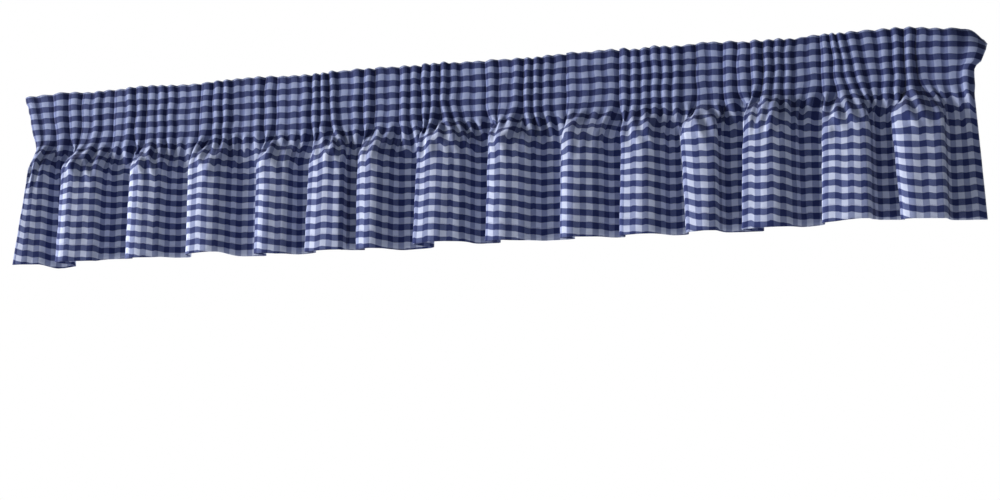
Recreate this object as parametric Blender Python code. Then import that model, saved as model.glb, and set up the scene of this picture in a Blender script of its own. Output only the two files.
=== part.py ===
"""Window valance of gathered cotton: one piece of cloth, pleated narrowly along its heading
and falling in fifteen uneven folds below it.

Metres. +X runs along the valance to the right, -Y faces the room, +Z is up.
The origin is the middle of the top edge, and the cloth hangs below it.
"""
import bpy
import numpy as np

MM = 0.001

# Main sizes.
CLOTH = 1.2 * MM            # thickness of the sheet
DROP = 254.0 * MM           # top edge to hem
LEFT_END = -650.0 * MM      # left side edge at the foot of the heading
RIGHT_END = 661.0 * MM      # right side edge at the foot of the heading
HEM_RIGHT = (669.0 * MM, 7.0 * MM)      # right side edge at the hem: along, and back

# Heading pleats.
PLEAT_FRONT = -2.0 * MM     # the faces of the pleats stand this far in front of the top edge
PLEAT_GAP = 3.0 * MM        # width of the floor between two pleats
PLEAT_RUN = 1.4 * MM        # how far a pleat's side leans over its depth
PLEAT_SHARES = (1.0, 0.82, 1.16, 0.94, 1.2, 0.86, 1.06)     # uneven widths, taken in turn
LEFT_PULL = 21.0 * MM       # the top left corner reaches this far out past the foot
CORNER = {"length": 34 * MM, "height": 60 * MM, "out": 14 * MM, "back": 18 * MM, "fall": 17 * MM,
          "long": 76 * MM, "droop": 6 * MM}     # the curled top right corner

# Skirt folds.
OPENING = 50.0 * MM         # drop over which a fold opens to its full depth
TUCK_ROUND = 7.0 * MM       # rounding of the bend hidden behind the next fold
SWAY_LEVEL = 110.0 * MM     # the sway is reached at this drop and fades towards the hem
HIGH_SHARE = 0.88           # depth just below the opening as a share of the depth at the hem
CREST_DEPTH = 0.75          # depth of a left crest as a share of the foremost part's depth
CORNERS = 5                 # bends in the plan of one fold

# One row per fold from left to right, in millimetres.
# crest: where the fold's left edge stands at the hem.   sway: its shift at mid height.
# flat: from the crest to its foremost part.             face: whole width of the face.
# turn: width over which it goes back.                   back: width behind, up to the tuck.
# near, far: depth of its foremost part and right end.   edge: rounding of its right edge.
# start: drop at which the fold begins.                  pleats: heading pleats above it.
# lift_face, lift_back: how much higher the hem is there.
# slant: shift of the heading pleats at the top edge.
COLUMNS = ("crest", "sway", "flat", "face", "turn", "back", "near", "far", "edge", "start",
           "pleats", "lift_face", "lift_back", "slant")
FOLDS = (
    (-663, 17, 14, 44, 14, 31, 28, 20, 9, 70, 4, 1.0, -5.0, 0),
    (-602, 4, 18, 65, 13, 34, 34, 24, 9, 80, 7, 1.5, 8.5, 0),
    (-497, 3, 19, 54, 14, 27, 29, 21, 9, 80, 5, 2.5, 5.0, 0),
    (-406, -1, 31, 54, 18, 44, 27, 20, 10, 83, 6, 6.0, 3.0, 2),
    (-305, 0, 18, 49, 12, 26, 29, 22, 7, 88, 5, -2.0, -2.0, 0),
    (-232, 4, 26, 57, 5, 23, 28, 26, 5, 84, 4, -1.0, 4.5, -3),
    (-158, 0, 25, 43, 18, 49, 30, 22, 7, 88, 5, -2.0, -2.5, 0),
    (-79, 6, 34, 75, 13, 34, 31, 21, 9, 74, 7, 2.5, 2.0, 0),
    (22, 3, 23, 61, 18, 43, 30, 20, 9, 79, 7, -1.0, 1.0, 2),
    (124, 2, 16, 54, 14, 21, 30, 20, 9, 82, 5, -1.0, 1.5, 0),
    (203, 3, 34, 56, 14, 21, 28, 21, 9, 84, 5, -1.5, -1.0, 0),
    (291, -7, 26, 43, 8, 51, 29, 26, 4, 81, 5, -2.0, -0.5, 0),
    (362, 4, 42, 68, 13, 26, 33, 23, 9, 72, 7, -2.5, -2.5, 3),
    (465, 4, 42, 63, 9, 32, 29, 28, 4, 81, 7, 3.0, 7.5, -16),
    (563, -10, 15, 58, 5, 43, 29, 24, 4, 82, 6, -1.5, 0.0, 0),
)

HEADING_DROPS = (0.0, 20 * MM, 48 * MM, 83 * MM)
SKIRT_DROPS = (95 * MM, 108 * MM, 123 * MM, 143 * MM, 178 * MM, 216 * MM, DROP)
FOOT_SHARE = 0.55           # depth of the pleats at the foot of the heading, where they open


def fold_table():
    """The fold rows as named arrays, lengths in metres."""
    rows = np.array(FOLDS, dtype=float)
    table = {name: rows[:, i] for i, name in enumerate(COLUMNS)}
    return {name: values if name == "pleats" else values * MM for name, values in table.items()}


def smooth(x):
    """Soft step from 0 to 1."""
    x = np.clip(x, 0.0, 1.0)
    return x * x * (3.0 - 2.0 * x)


def fold_corners(table, drop):
    """Corners of the folded sheet in plan at one drop, with a rounding for each corner.

    Each fold has five: the tuck hidden behind it, its left crest, its foremost part, the right
    end of its face and the place where it meets the flat part behind. The crest stands back
    from the foremost part, except in the first fold.
    """
    high = np.clip((DROP - drop) / (DROP - SWAY_LEVEL), 0.0, 1.0)
    depth = 1.0 - (1.0 - HIGH_SHARE) * high
    crest = table["crest"] + table["sway"] * high
    flat = table["crest"] + table["flat"] + 0.5 * table["sway"] * high
    edge = table["crest"] + table["face"]
    foot = edge + table["turn"]
    tuck = foot + table["back"] + 0.5 * high * np.append(table["sway"][1:], 0.0)
    crest_depth = table["near"] * np.where(np.arange(len(FOLDS)) == 0, 1.0, CREST_DEPTH)
    x = np.stack([np.append(0.0, tuck[:-1]), crest, flat, edge, foot], axis=1)
    y = -depth * np.stack([np.zeros_like(crest), crest_depth, table["near"], table["far"],
                           np.zeros_like(crest)], axis=1)
    rounds = np.stack([np.full_like(crest, TUCK_ROUND), np.full_like(crest, 8 * MM),
                       np.full_like(crest, 12 * MM), table["edge"],
                       np.full_like(crest, 8 * MM)], axis=1)
    points = np.stack([x, y], axis=2).reshape(-1, 2)[1:]
    end_x = RIGHT_END + (HEM_RIGHT[0] - RIGHT_END) * (1.0 - high)
    points = np.vstack([points, [[end_x, HEM_RIGHT[1]]]])
    return points, np.append(rounds.reshape(-1)[1:], 0.0)


def rounded(points, rounds):
    """Three points for each inner corner: where its rounding starts, its middle and its end."""
    step = np.diff(points, axis=0)
    length = np.linalg.norm(step, axis=1)
    way = step / length[:, None]
    reach = np.minimum(rounds[1:-1], 0.42 * np.minimum(length[:-1], length[1:]))[:, None]
    before = points[1:-1] - way[:-1] * reach
    after = points[1:-1] + way[1:] * reach
    middle = 0.25 * before + 0.5 * points[1:-1] + 0.25 * after
    inner = np.stack([before, middle, after], axis=1).reshape(-1, 2)
    return np.vstack([points[:1], inner, points[-1:]])


def along(points):
    """Running length along a line of points."""
    return np.concatenate([[0.0], np.cumsum(np.linalg.norm(np.diff(points, axis=0), axis=1))])


def heading_marks(table):
    """Where each fold's share of the heading ends: the foot of the heading, left to right."""
    return np.concatenate([[LEFT_END], table["crest"][1:], [RIGHT_END]])


def heading_pleats(table, cloth_length):
    """Four points for each pleat: along, back, and the share of the fold it stands above.

    A pleat's depth follows from the cloth it has to take up, so that the heading and the
    skirt below it are the same length when laid flat.
    """
    marks = heading_marks(table)
    x_list = []
    y_list = []
    slant_list = []
    turn = 0
    for i, count in enumerate(table["pleats"].astype(int)):
        shares = np.array([PLEAT_SHARES[(turn + j) % len(PLEAT_SHARES)] for j in range(count)])
        turn += count
        span = marks[i + 1] - marks[i]
        ends = marks[i] + span * np.concatenate([[0.0], np.cumsum(shares)]) / shares.sum()
        fullness = cloth_length[i] / span
        for left, right in zip(ends[:-1], ends[1:]):
            width = right - left
            front = width - PLEAT_GAP - 2.0 * PLEAT_RUN
            side = 0.5 * (width * fullness - front - PLEAT_GAP)
            depth = np.sqrt(max(side ** 2 - PLEAT_RUN ** 2, (2.5 * MM) ** 2))
            floor = PLEAT_FRONT + min(depth, 8.5 * MM)
            corners = np.array([left + 0.5 * PLEAT_GAP, left + 0.5 * PLEAT_GAP + PLEAT_RUN,
                                right - 0.5 * PLEAT_GAP - PLEAT_RUN, right - 0.5 * PLEAT_GAP])
            share = (corners - marks[i]) / span
            x_list.append(corners)
            y_list.append([floor, PLEAT_FRONT, PLEAT_FRONT, floor])
            slant_list.append(table["slant"][i] * np.sin(np.pi * share) ** 2)
    x = np.concatenate(x_list)
    x[0] = LEFT_END
    x[-1] = RIGHT_END
    return x, np.concatenate(y_list), np.concatenate(slant_list)


def opening(table, cloth, borders, drop):
    """How far the folds have opened at one drop, for each place along the flat cloth."""
    centre = 0.5 * (borders[:-1] + borders[1:])
    start = np.interp(cloth, centre, table["start"])
    return smooth((drop - start) / OPENING)[:, None]


def heading_rows(table, cloth_length, hem, borders):
    """The pleated band, one row of points for each drop."""
    x, y, slant = heading_pleats(table, cloth_length)
    cloth = np.interp(x, heading_marks(table), borders)
    rows = []
    for drop in HEADING_DROPS:
        rise = 1.0 - drop / HEADING_DROPS[-1]
        left = smooth(1.0 - (x - LEFT_END) / (70 * MM)) * LEFT_PULL * rise
        low = smooth(1.0 - drop / CORNER["height"])
        curl = smooth(1.0 - (RIGHT_END - x) / CORNER["length"]) * low
        droop = smooth(1.0 - (RIGHT_END - x) / CORNER["long"]) * low
        deep = PLEAT_FRONT + (y - PLEAT_FRONT) * (FOOT_SHARE + (1.0 - FOOT_SHARE) * rise ** 0.3)
        closed = np.stack([x + slant * rise - left + CORNER["out"] * curl,
                           deep + CORNER["back"] * curl], axis=1)
        share = opening(table, cloth, borders, drop)
        place = closed * (1.0 - share) + folds_at(table, drop, cloth, hem) * share
        rows.append(np.column_stack([place, -drop - CORNER["fall"] * curl
                                     - CORNER["droop"] * droop]))
    return np.array(rows), x


def folds_at(table, drop, cloth, hem):
    """Plan of the open folds at one drop, read at places along the flat cloth."""
    plan = rounded(*fold_corners(table, drop))
    length = along(hem)
    return np.stack([np.interp(cloth, length, plan[:, 0]),
                     np.interp(cloth, length, plan[:, 1])], axis=1)


def fold_borders(hem):
    """Places along the flat cloth where one fold ends and the next begins: the tucks."""
    length = along(hem)
    tucks = length[3 * CORNERS * np.arange(1, len(FOLDS)) - 4]
    return np.concatenate([[0.0], tucks, [length[-1]]])


def skirt_rows(table, hem, borders):
    """The folded part, one row of points for each drop, and its place along the heading."""
    cloth = along(hem)
    above = np.interp(cloth, borders, heading_marks(table))
    centre = 0.5 * (borders[:-1] + borders[1:])
    out = np.clip(-hem[:, 1] / (22 * MM), 0.0, 1.0)
    lift = (np.interp(cloth, centre, table["lift_face"]) * out
            + np.interp(cloth, centre, table["lift_back"]) * (1.0 - out))
    closed = np.stack([above, np.full_like(above, PLEAT_FRONT + 2.5 * MM)], axis=1)
    rows = []
    for drop in SKIRT_DROPS:
        share = opening(table, cloth, borders, drop)
        place = closed * (1.0 - share) + rounded(*fold_corners(table, drop)) * share
        hem_share = smooth((drop - SWAY_LEVEL) / (DROP - SWAY_LEVEL))
        rows.append(np.column_stack([place, -drop + lift * hem_share]))
    return np.array(rows), above


def grid_faces(rows, columns, first):
    """Four-sided faces of a grid of points, wound to face the room."""
    index = first + np.arange(rows * columns).reshape(rows, columns)
    quads = np.stack([index[:-1, :-1], index[1:, :-1], index[1:, 1:], index[:-1, 1:]], axis=-1)
    return [tuple(face) for face in quads.reshape(-1, 4).tolist()]


def join_faces(upper_x, lower_x, upper_first, lower_first):
    """Triangles between two rows with different numbers of points, always stepping along the
    row that lags behind."""
    faces = []
    i = 0
    j = 0
    while i < len(upper_x) - 1 or j < len(lower_x) - 1:
        step_upper = j == len(lower_x) - 1 or (
            i < len(upper_x) - 1 and upper_x[i + 1] <= lower_x[j + 1])
        if step_upper:
            faces.append((upper_first + i, lower_first + j, upper_first + i + 1))
            i += 1
        else:
            faces.append((upper_first + i, lower_first + j, lower_first + j + 1))
            j += 1
    return faces


def point_normals(points, faces):
    """Direction and length of the step from the middle of the sheet to its face, so that the
    sheet keeps its thickness round the bends."""
    total = np.zeros_like(points)
    count = np.zeros(len(points))
    units = []
    for face in faces:
        a, b, c = points[face[0]], points[face[1]], points[face[2]]
        normal = np.cross(b - a, c - a)
        normal = normal / max(np.linalg.norm(normal), 1e-12)
        units.append(normal)
        for v in face:
            total[v] += normal
            count[v] += 1
    direction = total / np.linalg.norm(total, axis=1)[:, None]
    agree = np.zeros(len(points))
    for face, normal in zip(faces, units):
        for v in face:
            agree[v] += direction[v] @ normal
    return direction / np.clip(agree / count, 0.7, 1.0)[:, None]


def closed_sheet(points, faces, border):
    """Front and back layers of the sheet joined round its border."""
    normals = point_normals(points, faces)
    verts = np.vstack([points + 0.5 * CLOTH * normals, points - 0.5 * CLOTH * normals])
    back = len(points)
    all_faces = list(faces)
    all_faces += [tuple(v + back for v in reversed(face)) for face in faces]
    for a, b in zip(border, border[1:] + border[:1]):
        all_faces.append((b, a, a + back, b + back))
    return verts, all_faces


def build_cloth():
    """The whole valance as one closed sheet."""
    table = fold_table()
    hem = rounded(*fold_corners(table, DROP))
    borders = fold_borders(hem)
    skirt, skirt_x = skirt_rows(table, hem, borders)
    heading, heading_x = heading_rows(table, np.diff(borders), hem, borders)
    n_heading = heading.shape[0] * heading.shape[1]
    points = np.vstack([heading.reshape(-1, 3), skirt.reshape(-1, 3)])
    faces = grid_faces(heading.shape[0], heading.shape[1], 0)
    faces += join_faces(heading_x, skirt_x, n_heading - heading.shape[1], n_heading)
    faces += grid_faces(skirt.shape[0], skirt.shape[1], n_heading)

    top = list(range(heading.shape[1]))
    right = [(r + 1) * heading.shape[1] - 1 for r in range(1, heading.shape[0])]
    right += [n_heading + (r + 1) * skirt.shape[1] - 1 for r in range(skirt.shape[0])]
    last = n_heading + (skirt.shape[0] - 1) * skirt.shape[1]
    hem = list(range(last + skirt.shape[1] - 2, last - 1, -1))
    left = [n_heading + r * skirt.shape[1] for r in range(skirt.shape[0] - 2, -1, -1)]
    left += [r * heading.shape[1] for r in range(heading.shape[0] - 1, 0, -1)]
    return closed_sheet(points, faces, (top + right + hem + left)[::-1])


def cotton():
    """Woven cotton in the cloth's average colour."""
    material = bpy.data.materials.new("gingham_cotton")
    material.use_nodes = True
    shader = material.node_tree.nodes["Principled BSDF"]
    shader.inputs["Base Color"].default_value = (0.115, 0.125, 0.31, 1.0)
    shader.inputs["Roughness"].default_value = 0.85
    return material


def main():
    for old in list(bpy.data.objects):
        bpy.data.objects.remove(old, do_unlink=True)
    verts, faces = build_cloth()
    mesh = bpy.data.meshes.new("valance_cloth")
    mesh.from_pydata([tuple(v) for v in verts.tolist()], [], faces)
    mesh.update()
    mesh.materials.append(cotton())
    cloth = bpy.data.objects.new("valance_cloth", mesh)
    bpy.context.scene.collection.objects.link(cloth)


main()
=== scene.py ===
# %% [markdown]
# # A gathered gingham valance
#
# A valance is the short curtain across the top of a window. This one is a single cut of blue
# gingham cotton. Its upper third is drawn up into narrow pleats, which makes a two-metre
# length of cloth only 1.3 m wide, and below the pleats the spare cloth falls in fifteen deep,
# uneven folds. A simulation could find such folds, but not these ones: the folds here have to
# stand where they do in the photo, so the sheet is shaped by formulas from short tables.
#
# All measures are in metres. +X runs along the valance to the right, -Y faces the room, and
# the top edge is at z = 0.

import bpy
import numpy as np
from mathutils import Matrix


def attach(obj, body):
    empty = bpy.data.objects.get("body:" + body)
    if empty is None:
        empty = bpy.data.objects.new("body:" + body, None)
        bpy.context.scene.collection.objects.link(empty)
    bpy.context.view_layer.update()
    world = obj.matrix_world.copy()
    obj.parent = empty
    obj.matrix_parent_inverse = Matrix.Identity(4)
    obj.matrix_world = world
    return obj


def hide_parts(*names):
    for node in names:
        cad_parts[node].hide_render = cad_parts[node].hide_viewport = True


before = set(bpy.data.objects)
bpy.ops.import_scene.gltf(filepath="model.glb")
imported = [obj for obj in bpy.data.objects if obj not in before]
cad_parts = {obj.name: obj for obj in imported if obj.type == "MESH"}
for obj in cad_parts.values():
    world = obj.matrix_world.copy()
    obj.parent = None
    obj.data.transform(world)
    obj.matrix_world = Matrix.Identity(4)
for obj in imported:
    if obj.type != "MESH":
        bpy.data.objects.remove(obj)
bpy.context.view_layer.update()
MM = 0.001

# %% [markdown]
# ## The sizes that everything follows from
#
# The photo fixes the proportions, and the cloth fixes the scale: gingham with checks of about
# 8.4 mm is common, and fifteen of its repeats fill the drop. One row of the table describes
# one fold as it stands at the hem, which is where folds are easiest to measure. Named columns
# are better than loose numbers here, because each one can be checked against the photo.

# %% Sizes and the table of folds
DROP = 254.0 * MM                       # top edge to hem
LEFT_END, RIGHT_END = -650.0 * MM, 661.0 * MM       # side edges at the foot of the heading
HEM_RIGHT = (669.0 * MM, 7.0 * MM)      # right side edge at the hem: along, and back
HEADING = 83.0 * MM                     # height of the pleated band
OPENING = 50.0 * MM                     # drop over which a fold opens
SWAY_LEVEL = 110.0 * MM                 # the folds' sway is complete at this drop
HIGH_SHARE = 0.88                       # a fold's depth just below its opening
CREST_DEPTH = 0.75                      # depth of the left crest, as a share of the front's

# All in millimetres, but for the number of pleats. crest: left edge at the hem; sway: its
# shift higher up; flat: from the crest to the foremost part; face: whole face; turn: width
# over which it goes back; back: width behind; near, far: depth of the foremost part and of
# the face's right end; edge: rounding of that end; start: where the fold begins; lift_face,
# lift_back: how much higher the hem is; slant: shift of the heading pleats at the top edge.
COLUMNS = ("crest", "sway", "flat", "face", "turn", "back", "near", "far", "edge", "start",
           "pleats", "lift_face", "lift_back", "slant")
FOLDS = (
    (-663, 17, 14, 44, 14, 31, 28, 20, 9, 70, 4, 1.0, -5.0, 0),
    (-602, 4, 18, 65, 13, 34, 34, 24, 9, 80, 7, 1.5, 8.5, 0),
    (-497, 3, 19, 54, 14, 27, 29, 21, 9, 80, 5, 2.5, 5.0, 0),
    (-406, -1, 31, 54, 18, 44, 27, 20, 10, 83, 6, 6.0, 3.0, 2),
    (-305, 0, 18, 49, 12, 26, 29, 22, 7, 88, 5, -2.0, -2.0, 0),
    (-232, 4, 26, 57, 5, 23, 28, 26, 5, 84, 4, -1.0, 4.5, -3),
    (-158, 0, 25, 43, 18, 49, 30, 22, 7, 88, 5, -2.0, -2.5, 0),
    (-79, 6, 34, 75, 13, 34, 31, 21, 9, 74, 7, 2.5, 2.0, 0),
    (22, 3, 23, 61, 18, 43, 30, 20, 9, 79, 7, -1.0, 1.0, 2),
    (124, 2, 16, 54, 14, 21, 30, 20, 9, 82, 5, -1.0, 1.5, 0),
    (203, 3, 34, 56, 14, 21, 28, 21, 9, 84, 5, -1.5, -1.0, 0),
    (291, -7, 26, 43, 8, 51, 29, 26, 4, 81, 5, -2.0, -0.5, 0),
    (362, 4, 42, 68, 13, 26, 33, 23, 9, 72, 7, -2.5, -2.5, 3),
    (465, 4, 42, 63, 9, 32, 29, 28, 4, 81, 7, 3.0, 7.5, -16),
    (563, -10, 15, 58, 5, 43, 29, 24, 4, 82, 6, -1.5, 0.0, 0),
)
N_FOLDS = len(FOLDS)
rows = np.array(FOLDS, dtype=float)
fold = {name: rows[:, i] * (1.0 if name == "pleats" else MM) for i, name in enumerate(COLUMNS)}
print(N_FOLDS, "folds,", int(fold["pleats"].sum()), "heading pleats")

# %% [markdown]
# ## The folds in plan
#
# Seen from below, a hanging fold is a line that comes forward from a hidden tuck to its crest,
# runs along the face, and goes back again to the flat part behind. Five corners a fold are
# enough, if each corner is rounded: cloth has no sharp corners, but its bends are tighter in
# some places than in others. A rounding is a parabola, drawn by three blended points.

# %% The rounded plan of the folds
CORNERS = 5                             # corners in each fold
STEPS = 9                               # points along each rounding
MOST_ROUND = 0.42                       # a rounding takes this share of a side at most
TUCK_ROUND, CREST_ROUND, FRONT_ROUND, FOOT_ROUND = 7 * MM, 8 * MM, 12 * MM, 8 * MM


def smooth(x):
    """Soft step from 0 to 1: three x squared less two x cubed, flat outside that range."""
    x = np.clip(x, 0.0, 1.0)
    return x * x * (3.0 - 2.0 * x)


def rounded(points, rounds):
    """Replace each inner corner by a parabola of nine points.

    It starts a rounding's length before the corner P and ends as far after it:
    point = (1-q)^2 before + 2q(1-q) P + q^2 after, for q from 0 to 1.
    """
    step = np.diff(points, axis=0)
    length = np.linalg.norm(step, axis=1)
    way = step / length[:, None]
    longest = MOST_ROUND * np.minimum(length[:-1], length[1:])
    reach = np.minimum(rounds[1:-1], longest)[:, None]
    before = (points[1:-1] - way[:-1] * reach)[:, None, :]
    after = (points[1:-1] + way[1:] * reach)[:, None, :]
    q = np.linspace(0.0, 1.0, STEPS)[None, :, None]
    inner = (1 - q) ** 2 * before + 2 * q * (1 - q) * points[1:-1, None, :] + q * q * after
    return np.vstack([points[:1], inner.reshape(-1, 2), points[-1:]])


def along(points):
    """Running length along a line of points."""
    return np.concatenate([[0.0], np.cumsum(np.linalg.norm(np.diff(points, axis=0), axis=1))])


def fold_plan(drop):
    """The folded sheet in plan at one drop: x along, y back.

    Each fold has five corners: tuck, crest, foremost part, right end of the face, and foot.
    Higher up the crests sway sideways and the folds are a little shallower.
    """
    high = np.clip((DROP - drop) / (DROP - SWAY_LEVEL), 0.0, 1.0)
    depth = 1.0 - (1.0 - HIGH_SHARE) * high
    crest = fold["crest"] + fold["sway"] * high
    flat = fold["crest"] + fold["flat"] + 0.5 * fold["sway"] * high
    edge = fold["crest"] + fold["face"]
    foot = edge + fold["turn"]
    tuck = foot + fold["back"] + 0.5 * high * np.append(fold["sway"][1:], 0.0)
    crest_depth = fold["near"] * np.where(np.arange(N_FOLDS) == 0, 1.0, CREST_DEPTH)
    nil = np.zeros_like(crest)
    x = np.stack([np.append(0.0, tuck[:-1]), crest, flat, edge, foot], axis=1)
    y = -depth * np.stack([nil, crest_depth, fold["near"], fold["far"], nil], axis=1)
    rounds = np.stack([nil + TUCK_ROUND, nil + CREST_ROUND, nil + FRONT_ROUND, fold["edge"],
                       nil + FOOT_ROUND], axis=1)
    points = np.stack([x, y], axis=2).reshape(-1, 2)[1:]
    end_x = RIGHT_END + (HEM_RIGHT[0] - RIGHT_END) * (1.0 - high)
    points = np.vstack([points, [[end_x, HEM_RIGHT[1]]]])
    return rounded(points, np.append(rounds.reshape(-1)[1:], 0.0))


hem_plan = fold_plan(DROP)
hem_cloth = along(hem_plan)
FLAT_WIDTH = hem_cloth[-1]
print("cloth laid flat: %.3f m, %.2f times the heading"
      % (FLAT_WIDTH, FLAT_WIDTH / (RIGHT_END - LEFT_END)))

# %% [markdown]
# Later steps need to know where along the flat cloth each fold has its tucks, its crest, its
# front and its edge. The plan is one line of points, nine for each corner, so those places
# can be counted out instead of searched for.

# %% Places along the flat cloth


def cloth_at(corner, folds):
    """Flat-cloth place of one corner of the listed folds.

    The plan starts at the crest of fold 0, so the corners count from there: crest 0, front 1,
    edge 2, foot 3 and the next fold's tuck 4. The index is the middle of the rounding.
    """
    return hem_cloth[1 + STEPS * (corner + CORNERS * folds - 1) + STEPS // 2]


crest_s = np.append(0.0, cloth_at(0, np.arange(1, N_FOLDS)))
front_s = cloth_at(1, np.arange(N_FOLDS))
edge_s = cloth_at(2, np.arange(N_FOLDS))
borders = np.concatenate([[0.0], cloth_at(4, np.arange(N_FOLDS - 1)), [FLAT_WIDTH]])
centre = 0.5 * (borders[:-1] + borders[1:])
marks = np.concatenate([[LEFT_END], fold["crest"][1:], [RIGHT_END]])
print("widest fold takes %.0f mm of cloth" % (np.diff(borders).max() / MM))

# %% [markdown]
# ## The gathered heading in plan
#
# In the heading the same cloth has to fit in two thirds of the width. In the photo every
# column that shows there is one whole repeat of the check, light in the middle, and the cloth
# that doesn't show is tucked away between the columns. So the heading is laid out by counting:
# each visible column takes one repeat, and a tuck behind it takes one or two more wherever
# the cloth is ahead of its place. The table says where the gathers are pulled tight, which
# makes the columns there narrow and round; elsewhere the heading is nearly flat.

# %% Where the gathers are tight
CHECK = 8.4 * MM                        # one band of threads, so a repeat is twice this
REPEAT = 2 * CHECK
COLUMNS_SHOWN = 81
GATHER_COLUMNS = ("left", "right", "strength")          # millimetres along the heading
GATHERS = (
    (-650, -632, 0.6), (-560, -548, 1.0), (-506, -494, 1.0), (-467, -437, 1.0),
    (-376, -347, 1.2), (-320, -308, 0.8), (-237, -190, 1.2), (-161, -149, 1.0),
    (-99, -87, 1.0), (-79, -25, 1.3), (62, 104, 1.3), (208, 287, 1.1), (384, 428, 1.4),
    (494, 531, 1.2), (538, 583, 1.0),
)
ZONE_FADE = 6.0                         # a zone's ends fade over this, mm
stops = np.linspace(LEFT_END, RIGHT_END, 2623)          # every half millimetre
zones = dict(zip(GATHER_COLUMNS, np.array(GATHERS).T))
inside = np.minimum(stops[:, None] / MM - zones["left"], zones["right"] - stops[:, None] / MM)
strength = (zones["strength"] * np.clip(0.5 + inside / ZONE_FADE, 0.0, 1.0)).sum(axis=1)
print("gathered zones:", len(GATHERS), "over", COLUMNS_SHOWN, "columns")

# %% [markdown]
# The amount of cloth at each place follows: everywhere at least the width itself, plus the
# spare cloth of that fold. Most of the spare cloth is put near the folds' borders, because
# there the tucks run straight down into the folds' own hidden tucks. The running total tells
# how far along the flat cloth each visible column has to start.

# %% Lay out the columns
LEAST = 1.03                            # cloth in each width where the heading is flattest
EVEN_SPARE, TIGHT_SPARE, BORDER_SPARE = 0.05, 0.22, 2.2     # how the spare cloth is shared
BORDER_REACH = 9 * MM
NO_TUCKS = 30 * MM                      # the curled corner holds no tucks
TIGHTER = 0.26                          # narrowing of the columns where the gathers are tight
MOST_REPEATS = 3                        # from one column's start to the next


def heading_layout():
    """Ends of the visible columns along the heading, and the repeat that each one shows.

    repeat = round(cloth used so far / repeat length), one to three after the one before, so
    each tuck hides two repeats at most.
    """
    place = (stops[1:] + stops[:-1]) / 2
    least = LEAST * np.diff(stops)
    pull = 0.5 * (strength[1:] + strength[:-1])
    off_border = np.abs(place[:, None] - marks[None, 1:-1]).min(axis=1)
    weight = EVEN_SPARE + TIGHT_SPARE * pull
    weight = weight + BORDER_SPARE * np.exp(-(off_border / BORDER_REACH) ** 2)
    weight = weight * np.clip((RIGHT_END - NO_TUCKS - place) / (6 * MM), 0.02, 1.0)
    cloth = np.zeros_like(place)
    for i in range(N_FOLDS):
        here = (place >= marks[i]) & (place <= marks[i + 1])
        spare = borders[i + 1] - borders[i] - least[here].sum()
        cloth[here] = least[here] + spare * weight[here] / weight[here].sum()
    used = np.append(0.0, np.cumsum(cloth))
    crowd = np.append(0.0, np.cumsum(1.0 + TIGHTER * pull))
    ends = np.interp(np.linspace(0.0, crowd[-1], COLUMNS_SHOWN + 1), crowd, stops)
    wanted = np.interp(ends, stops, used) / REPEAT
    shown = [0]
    for goal in wanted[1:-1]:
        shown.append(int(np.clip(round(goal), shown[-1] + 1, shown[-1] + MOST_REPEATS)))
    return ends, np.array(shown)


column_ends, column_repeat = heading_layout()
hidden = np.append(np.diff(column_repeat) - 1, 0)
print("tucks:", int(hidden.sum()), "last repeat", column_repeat[-1],
      "of %.2f" % (FLAT_WIDTH / REPEAT))

# %% [markdown]
# A column bulges because its cloth is longer than its width. For an arc of length L over a
# chord of width w, the rise is close to the square root of 3 w (L - w) / 8. A tuck is a loop
# of four points behind the cloth. It leans along the back, as a pressed gather does, so that
# it doesn't stand out behind the heading.

# %% Columns and tucks as one line
PARTS = 7                               # steps across one column
THIN_BULGE = 0.25 * MM                  # spare cloth that even a flat column keeps
GAP = 2.0 * MM                          # opening of a tuck
GAP_DEPTH = 0.4 * MM                    # how far back the columns meet
TUCK_LEAN = (0.83, 0.55)                # a tuck's way: along, and back
TUCK_COLUMNS = ("cloth", "across", "depth")     # shares of the cloth held and of half the gap
TUCK = ((0.25, -0.9, 0.25), (0.45, -0.7, 0.45), (0.55, 0.7, 0.45), (0.75, 0.9, 0.25))
tuck = dict(zip(TUCK_COLUMNS, np.array(TUCK).T))


def heading_line():
    """Flat-cloth place, x and y of every point along the heading, and how much it is a ridge."""
    s_all, x_all, y_all, ridge = [], [], [], []
    share = np.linspace(0.0, 1.0, PARTS + 1)
    for j, first in enumerate(column_repeat):
        left = column_ends[j] + (0.5 * GAP if j and hidden[j - 1] else 0.0)
        right = column_ends[j + 1] - (0.5 * GAP if hidden[j] else 0.0)
        start_s = first * REPEAT
        length = REPEAT if j < len(column_repeat) - 1 else FLAT_WIDTH - start_s
        width = right - left
        rise = np.sqrt(3.0 / 8.0 * width * max(length - width, THIN_BULGE))
        keep = slice(0 if j == 0 or hidden[j - 1] else 1, None)
        s_all.append((start_s + length * share)[keep])
        x_all.append((left + width * share)[keep])
        y_all.append((GAP_DEPTH - rise * np.sin(np.pi * share) ** 0.9)[keep])
        ridge.append((np.sin(np.pi * share) ** 2)[keep])
        if hidden[j]:
            held = hidden[j] * REPEAT
            depth = held * tuck["depth"]
            s_all.append(start_s + REPEAT + held * tuck["cloth"])
            x_all.append(column_ends[j + 1] + 0.5 * GAP * tuck["across"] + TUCK_LEAN[0] * depth)
            y_all.append(GAP_DEPTH + TUCK_LEAN[1] * depth)
            ridge.append(np.zeros(len(TUCK)))
    return [np.concatenate(part) for part in (s_all, x_all, y_all, ridge)]


s, heading_x, heading_y, ridge = heading_line()
print(len(s), "points along the cloth, tucks %.1f mm deep" % (heading_y.max() / MM))

# %% [markdown]
# ## Soft unevenness
#
# Nothing sewn and hung by hand is regular. A few slow waves with fixed phases make the pleats
# wander and vary in depth. They are the same on every run, and they are slow compared with a
# pleat, so that they read as unevenness and not as noise.

# %% Slow waves over the cloth
GOLDEN_ANGLE = 2.399                    # turns each wave well away from the ones before it


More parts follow.
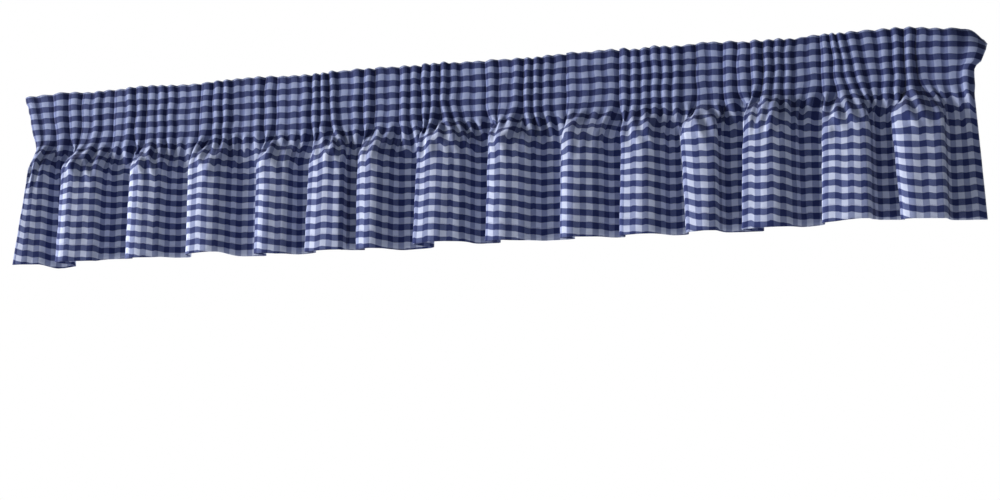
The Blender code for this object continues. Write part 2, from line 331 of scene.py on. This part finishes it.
def waves(s, t, length, seed):
    """Sum of five plane waves of about one wavelength, between -1 and 1.

    Each is sin(2 pi (a s + b t) / length + phase), with a, b and phase taken from `seed`.
    """
    total = np.zeros(np.broadcast(s, t).shape)
    for k in range(5):
        angle = seed + GOLDEN_ANGLE * k
        size = length * (0.7 + 0.17 * k)
        total = total + np.sin(2 * np.pi * (np.cos(angle) * s + np.sin(angle) * t) / size
                               + 1.7 * k + seed)
    return total / 3.4


print("a wave at the top left corner: %.2f" % waves(0.0, 0.0, 50 * MM, 1.0))

# %% [markdown]
# ## From plan lines to a hanging sheet
#
# The sheet is a grid: `s` runs along the flat cloth and `T` down it. The rows lie closest
# together below the heading, where the cloth is most crumpled. Each fold starts at its own
# height, a little higher at its front than at the tucks beside it, so two helpers give values
# that change from fold to fold and values that change within every fold.

# %% The grid of cloth
drops = np.concatenate([np.linspace(0, 76, 16), np.linspace(78.6, 136, 23),
                        np.linspace(141.4, 254, 21)]) * MM
S, T = np.meshgrid(s, drops)
fold_at = np.interp(s, centre, np.arange(N_FOLDS))      # number of the fold, with fractions


def across_folds(values):
    """A value for each fold, blended from the middle of one fold to the middle of the next."""
    return np.interp(fold_at, np.arange(N_FOLDS), values)


def within_fold(at_border, at_crest, at_front, at_edge):
    """A value along the cloth, straight between what it is at each fold's lines."""
    places = np.stack([borders[:-1], crest_s, front_s, edge_s], axis=1)
    places[0, 0] -= 1 * MM
    values = np.tile([at_border, at_crest, at_front, at_edge], N_FOLDS)
    return np.interp(s, np.append(places.reshape(-1), borders[-1]), np.append(values, at_border))


start = across_folds(fold["start"]) + within_fold(5.0, 0.0, -7.0, 0.0) * MM
below = T - start[None, :]              # how far below the start of its fold a point is
print("grid of", len(s), "by", len(drops), "points")

# %% [markdown]
# The heading comes first, as if it ran all the way down. Some columns slant, the top left
# corner reaches outwards, and the top right corner has sprung loose: it points outwards,
# droops and curls backwards. The pleats don't stop at the foot of the heading. They die away
# over the tops of the folds as fine creases, which `pleated` takes care of.

# %% The heading at every height
LEFT_PULL, LEFT_WIDTH = 21.0 * MM, 70 * MM              # reach of the top left corner
CORNER = {"length": 30 * MM, "height": 60 * MM, "back": 18 * MM, "fall": 13 * MM,
          "long": 76 * MM, "droop": 5 * MM}             # the curled top right corner
CORNER_OUT_COLUMNS = ("drop", "out")                    # millimetres past the right end
CORNER_OUT = ((0, 13.0), (8, 17.0), (30, 14.5), (42, 11.0), (52, 8.0), (57, 1.0), (62, 0.0))
PLEATS_END, PLEATS_FADE = 132 * MM, 50 * MM
SIDEWAYS, FORWARD, SCALLOP = 1.2 * MM, 1.3 * MM, 0.9 * MM       # heights of the waves

rise = np.clip(1.0 - T / HEADING, 0.0, 1.0)     # 1 at the top edge, 0 at the heading's foot
slant = np.zeros_like(heading_x)
for i in range(N_FOLDS):
    here = (heading_x >= marks[i]) & (heading_x <= marks[i + 1])
    share = (heading_x[here] - marks[i]) / (marks[i + 1] - marks[i])
    slant[here] = fold["slant"][i] * np.sin(np.pi * share) ** 2

left = smooth(1.0 - (heading_x - LEFT_END) / LEFT_WIDTH)[None, :] * LEFT_PULL * rise
low = smooth(1.0 - T / CORNER["height"])
at_end = smooth(1.0 - (RIGHT_END - heading_x) / CORNER["length"])[None, :]
curl = at_end * low
droop = smooth(1.0 - (RIGHT_END - heading_x) / CORNER["long"])[None, :] * low
corner_out = dict(zip(CORNER_OUT_COLUMNS, np.array(CORNER_OUT).T * MM))

closed_x = heading_x[None, :] + slant[None, :] * rise - left
closed_x = closed_x + np.interp(T, corner_out["drop"], corner_out["out"]) * at_end
closed_x = closed_x + SIDEWAYS * waves(S * 0.6, T, 55 * MM, 2.1) * np.minimum(1, rise * 4)
scallops = np.cos(2 * np.pi * T / REPEAT) * np.exp(-S / (4 * MM))      # left side edge only
closed_x = closed_x + SCALLOP * scallops * rise

pleated = smooth((PLEATS_END - T) / PLEATS_FADE)
uneven = 1.0 + 0.2 * waves(S, T, 60 * MM, 0.4)
closed_y = -1.0 * MM + FORWARD * waves(S * 0.6, T, 90 * MM, 5.0)
closed_y = closed_y + (heading_y[None, :] + 1.0 * MM) * uneven * pleated + CORNER["back"] * curl
print("top corners at %.0f and %.0f mm" % (closed_x[0, 0] / MM, closed_x[0, -1] / MM))

# %% [markdown]
# Further down each point moves smoothly from the pleated line to the folded one. It spreads
# sideways a little before it comes forward. The hem is higher in some folds than in others,
# and the top edge isn't straight either: a table holds how far it departs from a straight
# line, and it dips between two columns. That unevenness fades within 24 mm.

# %% The open folds, the hem and the top edge
SPREAD_AHEAD, SPREAD_LENGTH = 22 * MM, 62 * MM
TOP_FADE = 24 * MM
TOP_WAVE, GROOVE_DIP = 1.3 * MM, 1.3 * MM
TOP_EDGE_COLUMNS = ("place", "height")                  # millimetres
TOP_EDGE = (
    (-660, -0.8), (-641, -1.4), (-603, 2.1), (-568, -0.9), (-534, 0.2), (-496, 2.6), (-459, 1.7),
    (-420, 1.4), (-389, 0.0), (-344, 3.2), (-305, 3.0), (-272, 1.2), (-248, 0.0), (-207, 1.0),
    (-163, 3.1), (-120, 1.4), (-85, 2.0), (-36, 2.8), (9, 0.8), (31, 2.1), (70, 0.1), (118, 2.5),
    (164, 3.6), (194, 3.9), (219, 0.3), (254, 2.1), (291, -0.4), (318, 2.4), (355, 0.9),
    (397, -1.4), (425, -0.6), (454, 1.7), (495, 1.3), (541, 2.7), (581, 1.9), (611, -0.1),
    (629, -0.5), (644, 2.0),
)

open_share = smooth(below / OPENING)
spread_share = smooth((below + SPREAD_AHEAD) / SPREAD_LENGTH)
plans = np.array([fold_plan(d) for d in drops])
fold_x = np.array([np.interp(s, hem_cloth, plan[:, 0]) for plan in plans])
fold_y = np.array([np.interp(s, hem_cloth, plan[:, 1]) for plan in plans])
x = closed_x * (1.0 - spread_share) + fold_x * spread_share
y = closed_y * (1.0 - open_share) + fold_y * open_share

forward = np.clip(-np.interp(s, hem_cloth, hem_plan[:, 1]) / (22 * MM), 0.0, 1.0)
lift = np.interp(s, centre, fold["lift_face"]) * forward
lift += np.interp(s, centre, fold["lift_back"]) * (1.0 - forward)
hem_share = smooth((T - SWAY_LEVEL) / (DROP - SWAY_LEVEL))
z = -T + lift[None, :] * hem_share - CORNER["fall"] * curl ** 4 - CORNER["droop"] * droop

top_edge = dict(zip(TOP_EDGE_COLUMNS, np.array(TOP_EDGE).T * MM))
top_line = np.interp(heading_x, top_edge["place"], top_edge["height"])[None, :]
top_line = top_line + TOP_WAVE * (waves(S * 0.7, 0 * T, 36 * MM, 1.3) - 1.0)
top_line = top_line - GROOVE_DIP * (1.0 - ridge[None, :])
z = z + top_line * smooth(1.0 - T / TOP_FADE)
sheet = np.stack([x, y, z], axis=2)
print("sheet %.0f mm wide at the hem" % ((x[-1].max() - x[-1].min()) / MM))

# %% [markdown]
# ## Listed creases
#
# Where a fold leaves the heading, the cloth is pulled towards the pleat that it hangs from,
# and raised creases run down and outwards from there. Each row of the table is one of them:
# the fold, counted from 1, then where the crease starts and ends. `u` goes from 0 at the
# fold's crest to 1 at the right end of its face, and `t` is the drop in millimetres. A crease
# is a rounded ridge that fades at both ends, and a negative height makes a trough.

# %% Add the creases
CREASE_COLUMNS = ("fold", "u_top", "t_top", "u_end", "t_end", "height", "width")
CREASES = (
    (1, 0.55, 74, 0.35, 120, 1.6, 5), (1, 0.85, 84, 0.75, 130, 1.2, 5),
    (2, 0.60, 86, 0.15, 134, 2.6, 6), (2, 0.92, 84, 0.88, 160, 2.0, 6),
    (2, 0.75, 90, 0.50, 140, -1.4, 6), (3, 0.70, 84, 0.12, 142, 2.6, 6),
    (3, 0.95, 90, 0.70, 150, 1.4, 7), (4, 0.05, 86, 0.55, 138, 2.6, 5),
    (4, 1.00, 82, 0.50, 152, 3.0, 6), (4, 0.50, 84, 0.62, 120, -2.0, 6),
    (5, 0.55, 88, 0.15, 142, 2.4, 6), (5, 0.95, 86, 0.90, 130, 2.0, 5),
    (6, 0.20, 70, 0.02, 112, 1.8, 5), (6, 0.80, 80, 0.50, 146, 2.6, 6),
    (6, 0.50, 92, 0.30, 130, -1.4, 6), (7, 1.00, 84, 0.40, 150, 2.8, 6),
    (7, 0.15, 90, 0.08, 130, 1.6, 5), (8, 0.50, 80, 0.18, 158, 3.0, 6),
    (8, 0.80, 84, 0.62, 136, 2.0, 7), (8, 0.22, 82, 0.04, 118, 1.8, 5),
    (9, 0.85, 82, 0.10, 136, 3.0, 6), (9, 0.60, 96, 0.38, 150, 1.8, 7),
    (9, 1.02, 84, 1.00, 132, 1.6, 5), (10, 0.45, 82, 0.05, 124, 2.6, 5),
    (10, 0.92, 82, 0.90, 132, 2.0, 6), (11, 0.22, 84, 0.05, 124, 2.2, 5),
    (11, 0.78, 80, 0.72, 136, 2.0, 6), (12, 0.55, 84, 0.05, 146, 2.8, 6),
    (12, 0.98, 80, 0.95, 140, 1.6, 5), (13, 0.15, 84, 0.02, 112, 2.0, 5),
    (13, 0.30, 76, 0.72, 100, 2.2, 5), (13, 0.72, 96, 0.50, 140, 2.6, 6),
    (13, 0.55, 100, 0.25, 112, -1.6, 6), (13, 0.95, 80, 1.02, 128, 1.8, 5),
    (14, 0.50, 80, 0.02, 158, 3.2, 7), (14, 0.85, 84, 0.90, 130, 1.4, 6),
    (15, 0.62, 80, 0.50, 150, 2.0, 8), (15, 0.20, 92, 0.12, 150, 1.2, 8),
)


def facing(grid):
    """Unit normals towards the room: the cross product of the steps down and along the grid."""
    down = np.gradient(grid, axis=0)
    across = np.gradient(grid, axis=1)
    normal = np.cross(down, across)
    return normal / np.maximum(np.linalg.norm(normal, axis=2, keepdims=True), 1e-12)


def crease_heights():
    """Sum of all ridges and troughs over the flat cloth.

    Each is height * exp(-(distance / width)^2), where distance is measured from the line
    between its two ends. It fades in over a fifth of its length and out over a third.
    """
    total = np.zeros_like(S)
    for row in CREASES:
        c = dict(zip(CREASE_COLUMNS, row))
        low_s, high_s = crest_s[c["fold"] - 1], edge_s[c["fold"] - 1]
        a = np.array([low_s + (high_s - low_s) * c["u_top"], c["t_top"] * MM])
        b = np.array([low_s + (high_s - low_s) * c["u_end"], c["t_end"] * MM])
        ray = b - a
        along_share = ((S - a[0]) * ray[0] + (T - a[1]) * ray[1]) / (ray @ ray)
        share = np.clip(along_share, 0.0, 1.0)
        distance = np.hypot(S - a[0] - share * ray[0], T - a[1] - share * ray[1])
        fade = smooth(share / 0.2) * smooth((1.0 - share) / 0.35)
        total += c["height"] * MM * fade * np.exp(-(distance / (c["width"] * MM)) ** 2)
    return total


hand_made = crease_heights()
print("creases from %.1f to %.1f mm" % (hand_made.min() / MM, hand_made.max() / MM))

# %% [markdown]
# The gathers go on below the heading as ripples, one for each repeat of the check. They lean
# differently in each fold and fade over the top third of the skirt. Last comes a slow
# unevenness that keeps the faces of the folds from being perfectly flat.

# %% Ripples below the gathers
CRUMPLE_TOP, CRUMPLE_END = 76 * MM, 158 * MM
RIPPLE, SLOW = 2.3 * MM, 0.5 * MM       # heights

crumple = smooth((T - CRUMPLE_TOP) / (14 * MM)) * smooth((CRUMPLE_END - T) / (62 * MM))
lean = across_folds(0.35 * np.cos(2.1 * np.arange(N_FOLDS)) - 0.15)[None, :]
ripple = np.cos(2 * np.pi * (S + lean * (T - 80 * MM)) / REPEAT + np.pi)
ripple = ripple * (0.75 + 0.6 * waves(S, T, 70 * MM, 4.4))
raised = hand_made + RIPPLE * ripple * crumple
raised = raised + SLOW * waves(S, T, 34 * MM, 3.3) * smooth((T - 80 * MM) / (40 * MM))
sheet = sheet + facing(sheet) * raised[:, :, None]
print("raised from %.1f to %.1f mm" % (raised.min() / MM, raised.max() / MM))

# %% [markdown]
# ## A cloth that is hemmed
#
# The sheet becomes a closed mesh with a front and a back layer, half a millimetre apart, and
# thicker where a maker has turned the cloth over: a 22 mm hem, 12 mm at each side and 30 mm
# along the top. The UV map holds flat-cloth metres, so the checks follow the threads.

# %% Make one closed mesh
THICK, TURNED = 0.5 * MM, 1.3 * MM      # the cloth, and where it is turned over
HEM_TURN, SIDE_TURN, TOP_TURN = 22 * MM, 12 * MM, 30 * MM


def step_up(distance):
    """1 inside a turning and 0 outside it, over a 1.5 mm step."""
    return smooth((distance + 0.75 * MM) / (1.5 * MM))


def closed_sheet(name, grid, u, v, thickness):
    """One closed mesh: front layer, back layer and a rim, with a UV map in flat metres."""
    n_t, n_s = grid.shape[:2]
    normal = facing(grid)
    front = grid + normal * 0.5 * THICK
    back = grid - normal * (thickness - 0.5 * THICK)[:, :, None]
    verts = np.concatenate([front.reshape(-1, 3), back.reshape(-1, 3)])
    index = np.arange(n_t * n_s).reshape(n_t, n_s)
    quads = np.stack([index[:-1, :-1], index[1:, :-1], index[1:, 1:], index[:-1, 1:]],
                     axis=-1).reshape(-1, 4)
    behind = quads[:, ::-1] + n_t * n_s
    edge = np.concatenate([index[:-1, 0], index[-1, :-1], index[:0:-1, -1], index[0, :0:-1]])
    following = np.roll(edge, -1)
    rim = np.stack([following, edge, edge + n_t * n_s, following + n_t * n_s], axis=-1)
    faces = np.concatenate([quads, behind, rim]).astype(np.int32)
    mesh = bpy.data.meshes.new(name)
    mesh.vertices.add(len(verts))
    mesh.vertices.foreach_set("co", verts.reshape(-1))
    mesh.loops.add(faces.size)
    mesh.loops.foreach_set("vertex_index", faces.reshape(-1))
    mesh.polygons.add(len(faces))
    mesh.polygons.foreach_set("loop_start", np.arange(0, faces.size, 4, dtype=np.int32))
    mesh.update(calc_edges=True)
    uv = np.concatenate([np.stack([u, v], axis=2).reshape(-1, 2)] * 2)[faces.reshape(-1)]
    mesh.uv_layers.new(name="flat_cloth").data.foreach_set("uv", uv.reshape(-1))
    mesh.polygons.foreach_set("use_smooth", np.ones(len(faces), dtype=bool))
    piece = bpy.data.objects.new(name, mesh)
    bpy.context.scene.collection.objects.link(piece)
    return piece


print("the hem is turned up by %.0f mm" % (HEM_TURN / MM))

# %% [markdown]
# Down the cloth, the threads count part of the extra length that a fold takes as it comes
# forward, so the rows of checks rise a little over each crest. The gathers pull them up at
# each front and unevenly in between. The rest is read off the photo: the rows hang lower in
# some folds than in others, and within a fold they drop at the crest near the gathers and
# climb there near the hem.

# %% Lay the threads and build the cloth
STRETCH_SHARE = 0.42                    # share of the surface's extra length that counts
ROWS_HANG = (0, -3, 0, 0, 0, 0, 0, -3, 0, 1, 1, 0, -3, 3.5, 5)  # lower by this in each fold, mm


def thread_length(grid):
    """Cloth length from the top edge down to each point.

    The drop, and a share of what the path along the surface adds to it.
    """
    steps = np.linalg.norm(np.diff(grid, axis=0), axis=2)
    path = np.vstack([np.zeros((1, grid.shape[1])), np.cumsum(steps, axis=0)])
    fall = np.vstack([np.zeros((1, grid.shape[1])), np.cumsum(np.diff(T, axis=0), axis=0)])
    return fall + STRETCH_SHARE * (path - fall)


pulled = within_fold(-1.0, -1.0, 4.0, 1.0)[None, :] * MM * crumple
pulled = pulled + MM * waves(S, T, 17 * MM, 6.1) * (0.5 + 3.0 * crumple)
pulled = pulled + 1.6 * MM * waves(S, T, 40 * MM, 4.7) * crumple
pulled = pulled + 0.9 * MM * waves(S, T, 37 * MM, 2.6) * smooth(1.3 - T / HEADING)
in_fold = across_folds(ROWS_HANG)[None, :] * MM * smooth(below / (80 * MM))
upper = within_fold(0.0, 4.5, 1.0, 1.0)[None, :] * MM * smooth(below / (20 * MM))
lower = within_fold(-1.0, -4.0, -1.0, 0.6)[None, :] * MM
hangs = in_fold + upper + (lower - upper) * smooth((T - 120 * MM) / (70 * MM))
V = thread_length(sheet) + pulled - hangs
hem_v = V[-1:, :]
turned = np.maximum(np.maximum(step_up(V - hem_v + HEM_TURN), step_up(TOP_TURN - V)),
                    np.maximum(step_up(SIDE_TURN - S), step_up(S - FLAT_WIDTH + SIDE_TURN)))
cloth = closed_sheet("valance_gingham", sheet, S, V, THICK + (TURNED - THICK) * turned)
FLAT_DROP = float(hem_v.mean())
print("cloth:", len(cloth.data.polygons) * 2, "triangles, cut %.3f by %.3f m"
      % (FLAT_WIDTH, FLAT_DROP))

# %% [markdown]
# ## Gingham, thread by thread
#
# Gingham is a plain weave of two thread colours in equal bands, both ways. Where blue crosses
# blue the cloth is dark, where white crosses white it is light, and where they cross each
# other the square is a mixture. A picture could hold this pattern, but a formula keeps it
# sharp at any distance: `PINGPONG` gives the distance from the middle of the nearest dark
# band, and a soft step turns that into blue or white thread. A finer formula then decides at
# each crossing which of the two threads lies on top.

# %% Helpers for node trees
THREAD = 0.56 * MM                      # from one thread to the next


class Tree:
    """A short way to write nodes: every method adds one node and returns its output."""

    def __init__(self, material):
        material.use_nodes = True
        self.nodes, self.links = material.node_tree.nodes, material.node_tree.links
        self.nodes.clear()

    def put(self, socket, value):
        if isinstance(value, bpy.types.NodeSocket):
            self.links.new(value, socket)
        else:
            socket.default_value = value

    def math(self, operation, *values):
        node = self.nodes.new("ShaderNodeMath")
        node.operation = operation
        for socket, value in zip(node.inputs, values):
            self.put(socket, value)
        return node.outputs[0]

    def soft_step(self, value, low, high, at_low=0.0, at_high=1.0):
        node = self.nodes.new("ShaderNodeMapRange")
        node.interpolation_type = "SMOOTHSTEP"
        for socket, number in zip(node.inputs, (value, low, high, at_low, at_high)):
            self.put(socket, number)
        return node.outputs[0]

    def noise(self, vector, scale, detail=2.0, roughness=0.5):
        node = self.nodes.new("ShaderNodeTexNoise")
        self.put(node.inputs["Vector"], vector)
        self.put(node.inputs["Scale"], scale)
        self.put(node.inputs["Detail"], detail)
        self.put(node.inputs["Roughness"], roughness)
        return node.outputs["Fac"]

    def mix(self, factor, first, second, blend="MIX"):
        node = self.nodes.new("ShaderNodeMix")
        node.data_type = "RGBA"
        node.blend_type = blend
        self.put(node.inputs["Factor"], factor)
        self.put(node.inputs["A"], first)
        self.put(node.inputs["B"], second)
        return node.outputs["Result"]

    def ramp(self, value, stops):
        node = self.nodes.new("ShaderNodeValToRGB")
        elements = node.color_ramp.elements
        while len(elements) < len(stops):
            elements.new(0.5)
        for element, (place, colour) in zip(elements, stops):
            element.position = place
            element.color = (*colour, 1.0)
        self.put(node.inputs["Fac"], value)
        return node.outputs["Color"]


print("node helpers:", [name for name in vars(Tree) if not name.startswith("_")])

# %% [markdown]
# ## The finish of the cotton
#
# Cotton has no gloss, only a faint sheen of loose fibres, so the roughness is high and the
# sheen low. Three things keep it from looking printed: the bands' edges waver by a thread,
# the dye is a little patchy, and the threads cast their own relief through the bump. Above
# the folds the cloth is crowded and doubled, and painted shade makes its colour a shade
# deeper there.

# %% Colours and sizes of the weave
LIGHT_CHECK = (0.57, 0.62, 0.80, 1.0)           # light row, light column
PALE_CHECK = (0.280, 0.320, 0.510, 1.0)         # light row, dark column
DEEP_CHECK = (0.074, 0.096, 0.240, 1.0)         # dark row, light column
DARK_CHECK = (0.018, 0.029, 0.125, 1.0)         # dark row, dark column
# painted shade: this colour darkens the crowded, doubled heading
GATHERED_PAINTED_SHADE = (0.52, 0.55, 0.66, 1.0)
PAINTED_SHADE_TOP, PAINTED_SHADE_END = 78 * MM, 132 * MM  # the painted shade fades out between these drops
STITCH_COLOUR = (0.30, 0.33, 0.55, 1.0)
PATCHY = ((0.30, (0.88, 0.89, 0.93)), (0.72, (1.0, 1.0, 1.0)))
SLUB = ((0.25, (0.86, 0.87, 0.90)), (0.75, (1.06, 1.05, 1.04)))
FIRST_ROW, FIRST_COLUMN = 6.2 * MM, 0.0         # middles of the first dark row and column
BAND_SOFT = 0.45 * MM                           # half the width of a band's soft edge
WAVER = 1.6 * MM                                # range of the noise that shifts the bands
OVER_SHARE = 0.16                               # how far the thread on top shifts the colour
STITCH_LENGTH, STITCH_RISE = 2.8 * MM, 2 * MM   # the rise is measured from the hem's fold
RELIEF = {"thread": 0.10 * MM, "crinkle": 0.55 * MM, "groove": 0.50 * MM, "stitch": 0.35 * MM}
print("a check holds %d threads" % round(CHECK / THREAD))

# %% Make the gingham


def gingham():
    """Four checks, mixed by how blue the threads are both ways.

    The mix is moved at each crossing towards the thread that lies on top.
    """
    material = bpy.data.materials.new("gingham_cotton_woven")
    t = Tree(material)
    uv = t.nodes.new("ShaderNodeUVMap")
    uv.uv_map = "flat_cloth"
    parts = t.nodes.new("ShaderNodeSeparateXYZ")
    t.put(parts.inputs[0], uv.outputs[0])
    u, v = parts.outputs[0], parts.outputs[1]

    def band(place, noise_scale, first):
        """1 in a dark band and 0 in a light one; a slow noise shifts its edges a little."""
        noise = t.math("SUBTRACT", t.noise(uv.outputs[0], noise_scale), 0.5)
        shifted = t.math("ADD", t.math("SUBTRACT", place, first), t.math("MULTIPLY", noise, WAVER))
        return t.soft_step(t.math("PINGPONG", shifted, CHECK), 0.5 * CHECK - BAND_SOFT,
                           0.5 * CHECK + BAND_SOFT, 1.0, 0.0)

    blue_u, blue_v = band(u, 38.0, FIRST_COLUMN), band(v, 31.0, FIRST_ROW)
    wave_u = t.math("SINE", t.math("MULTIPLY", u, np.pi / THREAD))
    wave_v = t.math("SINE", t.math("MULTIPLY", v, np.pi / THREAD))
    over = t.math("MULTIPLY", wave_u, wave_v)
    shift = t.math("MULTIPLY", t.math("SUBTRACT", blue_u, blue_v),
                   t.math("MULTIPLY", over, OVER_SHARE))
    light_row = t.mix(blue_u, LIGHT_CHECK, PALE_CHECK)
    dark_row = t.mix(blue_u, DEEP_CHECK, DARK_CHECK)
    colour = t.mix(t.math("ADD", blue_v, shift), light_row, dark_row)
    patchy = t.ramp(t.noise(uv.outputs[0], 55.0, 5.0, 0.6), PATCHY)
    colour = t.mix(1.0, colour, patchy, "MULTIPLY")
    # Painted shade: the colour is darkened over the gathered heading and fades out below it.
    gathered = t.soft_step(v, PAINTED_SHADE_TOP, PAINTED_SHADE_END, 1.0, 0.0)
    colour = t.mix(gathered, colour, GATHERED_PAINTED_SHADE, "MULTIPLY")
    slub = t.ramp(t.noise(uv.outputs[0], 900.0, 2.0, 0.5), SLUB)
    colour = t.mix(0.6, colour, slub, "MULTIPLY")

    # A line of stitches holds the hem: short dips between longer thread.
    line = t.math("ABSOLUTE", t.math("SUBTRACT", v, FLAT_DROP - HEM_TURN + STITCH_RISE))
    on_line = t.soft_step(line, 0.25 * MM, 0.55 * MM, 1.0, 0.0)
    dip = t.math("PINGPONG", u, 0.5 * STITCH_LENGTH)
    stitch = t.math("MULTIPLY", on_line, t.soft_step(dip, 0.15 * MM, 0.45 * MM))
    colour = t.mix(t.math("MULTIPLY", stitch, 0.75), colour, STITCH_COLOUR)
    groove = t.soft_step(line, 0.0, 2.0 * MM, -1.0, 0.0)

    crinkle = t.noise(uv.outputs[0], 160.0, 3.0, 0.55)
    height = t.math("MULTIPLY", t.math("ABSOLUTE", over), RELIEF["thread"])
    for name, part in (("crinkle", crinkle), ("groove", groove), ("stitch", stitch)):
        height = t.math("ADD", height, t.math("MULTIPLY", part, RELIEF[name]))
    bump = t.nodes.new("ShaderNodeBump")
    bump.inputs["Strength"].default_value = 0.75
    bump.inputs["Distance"].default_value = 1.0
    t.put(bump.inputs["Height"], height)

    shader = t.nodes.new("ShaderNodeBsdfPrincipled")
    t.put(shader.inputs["Base Color"], colour)
    t.put(shader.inputs["Roughness"], t.soft_step(crinkle, 0.2, 0.8, 0.82, 0.94))
    t.put(shader.inputs["Normal"], bump.outputs[0])
    shader.inputs["Specular IOR Level"].default_value = 0.22
    shader.inputs["Sheen Weight"].default_value = 0.12
    shader.inputs["Sheen Roughness"].default_value = 0.5
    out = t.nodes.new("ShaderNodeOutputMaterial")
    t.put(out.inputs["Surface"], shader.outputs[0])
    return material


cloth.data.materials.append(gingham())
print("finish:", cloth.data.materials[0].name)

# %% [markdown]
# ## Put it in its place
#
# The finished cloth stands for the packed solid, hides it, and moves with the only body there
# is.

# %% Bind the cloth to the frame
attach(cloth, "root")
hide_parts("valance_cloth")
print("rides on root, flat size %.3f x %.3f m" % (FLAT_WIDTH, FLAT_DROP))

# %% [markdown]
# ## Floor, light and camera
#
# The valance hangs above head height, over a plain pale floor. The key lamp stands far out to
# the left and only a little in front, so its light rakes along the cloth: the left side of
# every fold is bright and the cloth to its right is in shade, as in the photo. A weaker lamp
# behind keeps the back of the cloth readable.

# %% The floor
FLOOR, FLOOR_HALF = -2.1, 12.0


def pale_floor():
    """A square of 24 m, in a matt pale grey with a faint cloudiness."""
    corners = FLOOR_HALF * np.array([[-1, -1, 0], [1, -1, 0], [1, 1, 0], [-1, 1, 0]])
    corners[:, 2] = FLOOR
    mesh = bpy.data.meshes.new("floor")
    mesh.from_pydata(corners.tolist(), [], [(0, 1, 2, 3)])
    floor = bpy.data.objects.new("floor", mesh)
    bpy.context.scene.collection.objects.link(floor)
    material = bpy.data.materials.new("pale_floor")
    t = Tree(material)
    place = t.nodes.new("ShaderNodeTexCoord").outputs["Object"]
    shade = t.ramp(t.noise(place, 0.8), ((0.3, (0.78, 0.78, 0.79)), (0.7, (0.82, 0.82, 0.82))))
    shader = t.nodes.new("ShaderNodeBsdfPrincipled")
    t.put(shader.inputs["Base Color"], shade)
    shader.inputs["Roughness"].default_value = 0.9
    out = t.nodes.new("ShaderNodeOutputMaterial")
    t.put(out.inputs["Surface"], shader.outputs[0])
    mesh.materials.append(material)
    return floor


pale_floor()
print("floor at %.1f m" % FLOOR)

# %% The light
LAMP_AIM = (0.0, 0.0, -0.12)
scene = bpy.context.scene
scene.view_settings.view_transform = "Standard"


def studio_world(backdrop=1.0, fill=0.20):
    """A white backdrop for the eye, and a dimmer, slightly cool light on the cloth."""
    world = bpy.data.worlds.new("studio")
    world.use_nodes = True
    tree = world.node_tree
    tree.nodes.clear()
    seen, lit, mix, out, ray = [tree.nodes.new(name) for name in (
        "ShaderNodeBackground", "ShaderNodeBackground", "ShaderNodeMixShader",
        "ShaderNodeOutputWorld", "ShaderNodeLightPath")]
    seen.inputs["Color"].default_value = (1.0, 1.0, 1.0, 1.0)
    seen.inputs["Strength"].default_value = backdrop
    lit.inputs["Color"].default_value = (0.86, 0.92, 1.0, 1.0)
    lit.inputs["Strength"].default_value = fill
    tree.links.new(ray.outputs["Is Camera Ray"], mix.inputs[0])
    tree.links.new(lit.outputs[0], mix.inputs[1])
    tree.links.new(seen.outputs[0], mix.inputs[2])
    tree.links.new(mix.outputs[0], out.inputs["Surface"])
    return world


def soft_lamp(name, place, power, size, colour):
    """A square area lamp at `place`, turned towards the cloth."""
    data = bpy.data.lights.new(name, "AREA")
    data.energy, data.size, data.color = power, size, colour
    lamp = bpy.data.objects.new(name, data)
    scene.collection.objects.link(lamp)
    lamp.location = place
    way = np.array(LAMP_AIM) - np.array(place)
    lamp.rotation_euler = (np.arctan2(np.hypot(way[0], way[1]), -way[2]), 0.0,
                           np.arctan2(-way[0], way[1]))
    return lamp


scene.world = studio_world()
soft_lamp("key_lamp", (-6.62, -2.25, 0.9), power=815.0, size=2.6, colour=(1.0, 0.99, 0.97))
soft_lamp("back_lamp", (2.6, 4.6, 1.2), power=210.0, size=2.4, colour=(0.97, 0.98, 1.0))

# %% [markdown]
# The camera stands to the right and below, and looks up and to the left. That is why the top
# edge of the cloth rises from left to right across the picture. The place and the angles
# were fitted to the top edge, the hem and the two ends in the photo.

# %% The camera
CAMERA_PLACE = (0.732, -2.51, -0.758)
LOOK_UP, LOOK_LEFT = 10.78, 15.42       # degrees
lens = bpy.data.cameras.new("camera")
lens.lens, lens.sensor_width = 72.0, 36.0
camera = bpy.data.objects.new("camera", lens)
scene.collection.objects.link(camera)
camera.location = CAMERA_PLACE
camera.rotation_euler = (np.radians(90.0 + LOOK_UP), 0.0, np.radians(LOOK_LEFT))
scene.camera = camera
print("camera at", CAMERA_PLACE)

# %% [markdown]
